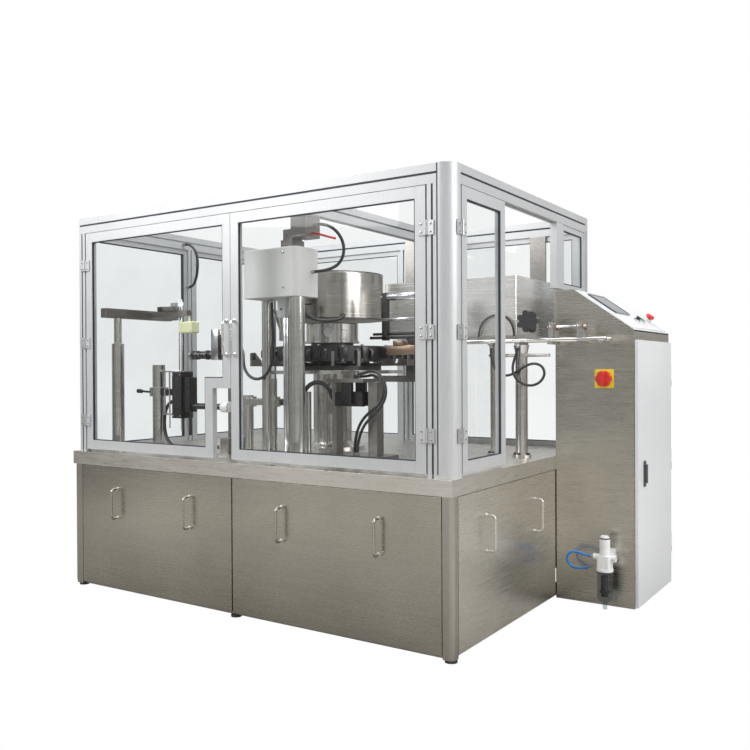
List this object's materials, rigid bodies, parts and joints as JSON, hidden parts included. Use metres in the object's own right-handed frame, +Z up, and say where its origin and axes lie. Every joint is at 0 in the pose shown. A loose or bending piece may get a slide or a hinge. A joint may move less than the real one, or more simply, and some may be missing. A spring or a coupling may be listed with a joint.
{
  "type": "premade pouch packing machine",
  "caption": "Rotary packing machine for premade pouches: steel base, glazed guard with doors, gripper turret with filling and sealing stations, pouch magazine and sloped control console",
  "frame": {"origin": "middle of the bounding box on the floor", "axes": "+X to the right seen from the door side, +Y back, +Z up"},
  "size_m": [2.361, 1.522, 1.7],
  "materials": {
    "steel_panel": "brushed stainless sheet",
    "steel_band": "fine ground stainless plate",
    "steel_polished": "polished stainless bar",
    "steel_frame": "stainless square tube",
    "aluminium_profile": "satin anodised extrusion",
    "hinge_metal": "die cast, bead blasted",
    "clear_pane": "clear acrylic sheet",
    "grey_enamel": "light grey powder coat",
    "drive_paint": "blue grey machine enamel",
    "dark_steel": "black oxide steel",
    "arm_steel": "cast and machined stainless",
    "screen": "dark glass in a plastic bezel",
    "collar_metal": "plated rings",
    "green_button": "green moulded cap",
    "black_plastic": "black moulded plastic",
    "red_button": "red moulded cap",
    "yellow_plate": "yellow moulded plate",
    "white_body": "white enamelled casting",
    "bowl": "clear bowl",
    "pale_green": "pale yellow green moulding",
    "black_hose": "black rubber hose",
    "blue_hose": "blue air tube",
    "rubber_foot": "rubber foot"
  },
  "bodies": {
    "machine": {"base_frame": "steel_frame", "levelling_feet": "rubber_foot", "worktop": "steel_band", "fixed_panels": "steel_panel", "turret_drive": "drive_paint", "console_cabinet": "steel_panel", "control_panel": "grey_enamel", "touch_screen": "screen", "button_collars": "collar_metal", "switchgear": "black_plastic", "main_switch_plate": "yellow_plate", "regulator_body": "white_body", "regulator_bowl": "bowl", "guard_posts": "aluminium_profile", "guard_rails": "aluminium_profile", "guard_windows": "aluminium_profile", "guard_panes": "clear_pane", "hinge_leaves": "hinge_metal", "turret_pedestal": "steel_polished", "centre_drum": "steel_polished", "head_cover": "grey_enamel", "station_columns": "steel_polished", "tool_arms": "arm_steel", "sensor_box": "pale_green", "date_printer": "dark_steel", "sealing_stand": "dark_steel", "magazine_bed": "steel_polished", "rear_hopper": "steel_polished", "support_brackets": "dark_steel", "head_hoses": "black_hose", "sealing_hoses": "black_hose", "printer_hose": "black_hose", "magazine_hose": "black_hose", "air_hose": "blue_hose"},
    "door_left": {"door_left_frame": "aluminium_profile", "door_left_pane": "clear_pane", "door_left_handle": "steel_polished"},
    "door_right": {"door_right_frame": "aluminium_profile", "door_right_pane": "clear_pane", "door_right_handle": "steel_polished"},
    "side_door": {"side_door_frame": "aluminium_profile", "side_door_pane": "clear_pane"},
    "panel_left": {"front_panel_left": "steel_panel"},
    "panel_right": {"front_panel_right": "steel_panel"},
    "panel_side": {"side_panel": "steel_panel"},
    "cabinet_door": {"console_door": "grey_enamel"},
    "cabinet_latch": {"console_latch": "dark_steel"},
    "main_switch": {"main_switch_knob": "red_button"},
    "stop": {"emergency_stop": "red_button"},
    "start": {"start_button": "green_button"},
    "selector": {"selector_knob": "black_plastic"},
    "pressure_knob": {"regulator_knob": "white_body"},
    "turret": {"turret_disc": "dark_steel", "hub_cover": "steel_polished"},
    "grippers_left": {"gripper_arms_left": "arm_steel"},
    "grippers_right": {"gripper_arms_right": "arm_steel"},
    "jaw_front": {"sealing_jaw_front": "dark_steel"},
    "jaw_back": {"sealing_jaw_back": "dark_steel"},
    "funnel": {"filling_funnel": "steel_polished"},
    "magazine_adjuster": {"magazine_knob": "black_plastic"}
  },
  "joints": [
    {"name": "door_left_swing", "type": "hinge", "parent": "machine", "child": "door_left", "pos_m": [-1.1135, -0.707, 1.13], "axis": [0, 0, 1], "range_deg": [-110, 0]},
    {"name": "door_right_swing", "type": "hinge", "parent": "machine", "child": "door_right", "pos_m": [0.707, -0.707, 1.13], "axis": [0, 0, 1], "range_deg": [0, 110]},
    {"name": "side_door_swing", "type": "hinge", "parent": "machine", "child": "side_door", "pos_m": [0.8155, -0.6375, 1.13], "axis": [0, 0, 1], "range_deg": [-110, 0]},
    {"name": "panel_left_lift", "type": "slide", "parent": "machine", "child": "panel_left", "axis": [0, -1, 0], "range_m": [0, 0.3]},
    {"name": "panel_right_lift", "type": "slide", "parent": "machine", "child": "panel_right", "axis": [0, -1, 0], "range_m": [0, 0.3]},
    {"name": "panel_side_lift", "type": "slide", "parent": "machine", "child": "panel_side", "axis": [1, 0, 0], "range_m": [0, 0.05]},
    {"name": "cabinet_door_swing", "type": "hinge", "parent": "machine", "child": "cabinet_door", "pos_m": [1.1605, 0.755, 0.56], "axis": [0, 0, 1], "range_deg": [0, 110]},
    {"name": "cabinet_latch_turn", "type": "hinge", "parent": "cabinet_door", "child": "cabinet_latch", "pos_m": [1.1665, 0.307, 0.556], "axis": [1, 0, 0], "range_deg": [0, 90]},
    {"name": "main_switch_turn", "type": "hinge", "parent": "machine", "child": "main_switch", "pos_m": [1.0285, 0.213, 0.951], "axis": [0, -1, 0], "range_deg": [0, 90]},
    {"name": "stop_push", "type": "slide", "parent": "machine", "child": "stop", "axis": [-0.5709, 0, -0.821], "range_m": [0, 0.004]},
    {"name": "start_push", "type": "slide", "parent": "machine", "child": "start", "axis": [-0.5709, 0, -0.821], "range_m": [0, 0.003], "stiffness_N_per_m": 400},
    {"name": "selector_turn", "type": "hinge", "parent": "machine", "child": "selector", "pos_m": [1.09255, 0.457, 1.19856], "axis": [0.5709, 0, 0.821], "range_deg": [-45, 45]},
    {"name": "pressure_turn", "type": "hinge", "parent": "machine", "child": "pressure_knob", "pos_m": [1.0515, 0.147, 0.262], "axis": [0, 0, 1], "range_deg": [-180, 180]},
    {"name": "turret_turn", "type": "hinge", "parent": "machine", "child": "turret", "pos_m": [-0.1935, -0.023, 0.99], "axis": [0, 0, 1], "continuous": true},
    {"name": "gripper_left_spread", "type": "hinge", "parent": "turret", "child": "grippers_left", "pos_m": [-0.1935, -0.023, 1.01], "axis": [0, 0, 1], "range_deg": [-4, 6]},
    {"name": "gripper_right_spread", "type": "hinge", "parent": "turret", "child": "grippers_right", "pos_m": [-0.1935, -0.023, 1.01], "axis": [0, 0, 1], "range_deg": [-6, 4]},
    {"name": "jaw_front_close", "type": "slide", "parent": "machine", "child": "jaw_front", "axis": [0, 1, 0], "range_m": [0, 0.0215]},
    {"name": "jaw_back_close", "type": "slide", "parent": "machine", "child": "jaw_back", "axis": [0, -1, 0], "range_m": [0, 0.0215]},
    {"name": "funnel_lower", "type": "slide", "parent": "machine", "child": "funnel", "axis": [0, 0, -1], "range_m": [0, 0.05]},
    {"name": "magazine_adjust", "type": "hinge", "parent": "machine", "child": "magazine_adjuster", "pos_m": [0.7735, 0.0317, 1.19], "axis": [0, -1, 0], "continuous": true}
  ],
  "couplings": [
    {"joint": "gripper_right_spread", "follows": "gripper_left_spread", "ratio": -1},
    {"joint": "jaw_back_close", "follows": "jaw_front_close", "ratio": 1}
  ]
}
